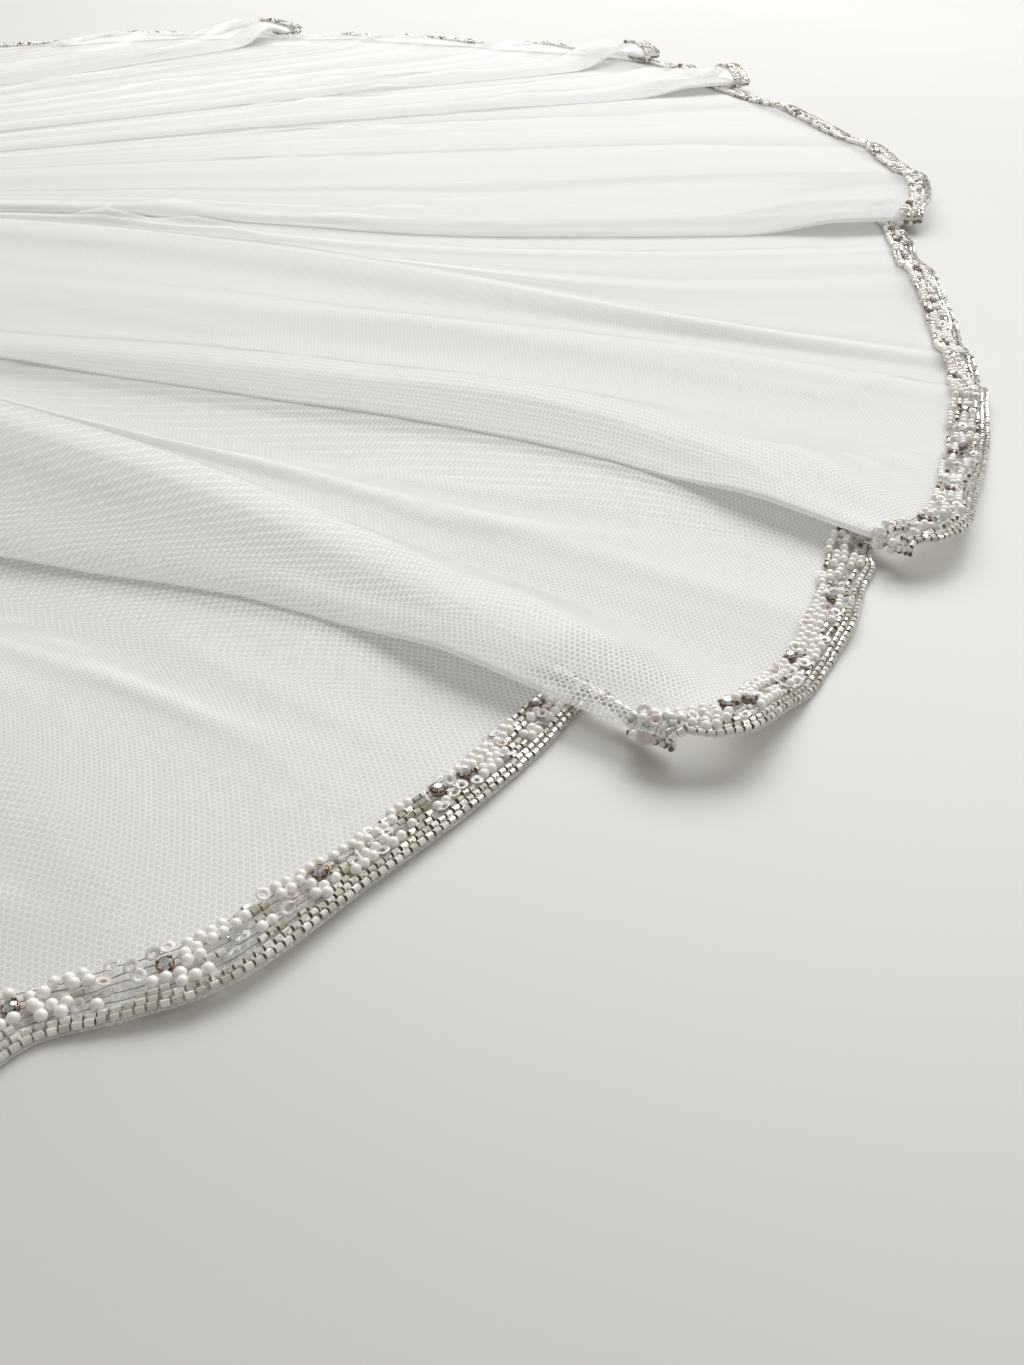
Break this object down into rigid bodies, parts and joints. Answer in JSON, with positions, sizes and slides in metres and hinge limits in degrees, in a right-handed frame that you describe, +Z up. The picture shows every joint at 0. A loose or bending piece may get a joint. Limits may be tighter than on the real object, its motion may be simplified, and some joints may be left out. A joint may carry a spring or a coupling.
{
  "type": "bridal veil",
  "caption": "Single-tier tulle bridal veil gathered on a hair comb and laid out flat in soft pleats, its curved hem edged with tube beads, pearls, sequins and stones.",
  "frame": {"origin": "on the surface that the veil lies on, under the middle of the laid-out veil", "axes": "+X from the comb towards the hem, +Y across the veil, +Z up from the surface"},
  "size_m": [0.9358, 1.1866, 0.0175],
  "materials": {
    "tulle": "soft matte net",
    "silver_beads": "silver-lined clear glass",
    "mixed_beads": "pearl, clear sequin and stone",
    "comb_metal": "bright wire and bar"
  },
  "bodies": {
    "root": {"tulle_panel": "tulle", "tube_bead_rows": "silver_beads", "mixed_bead_band": "mixed_beads", "comb": "comb_metal"}
  },
  "joints": []
}
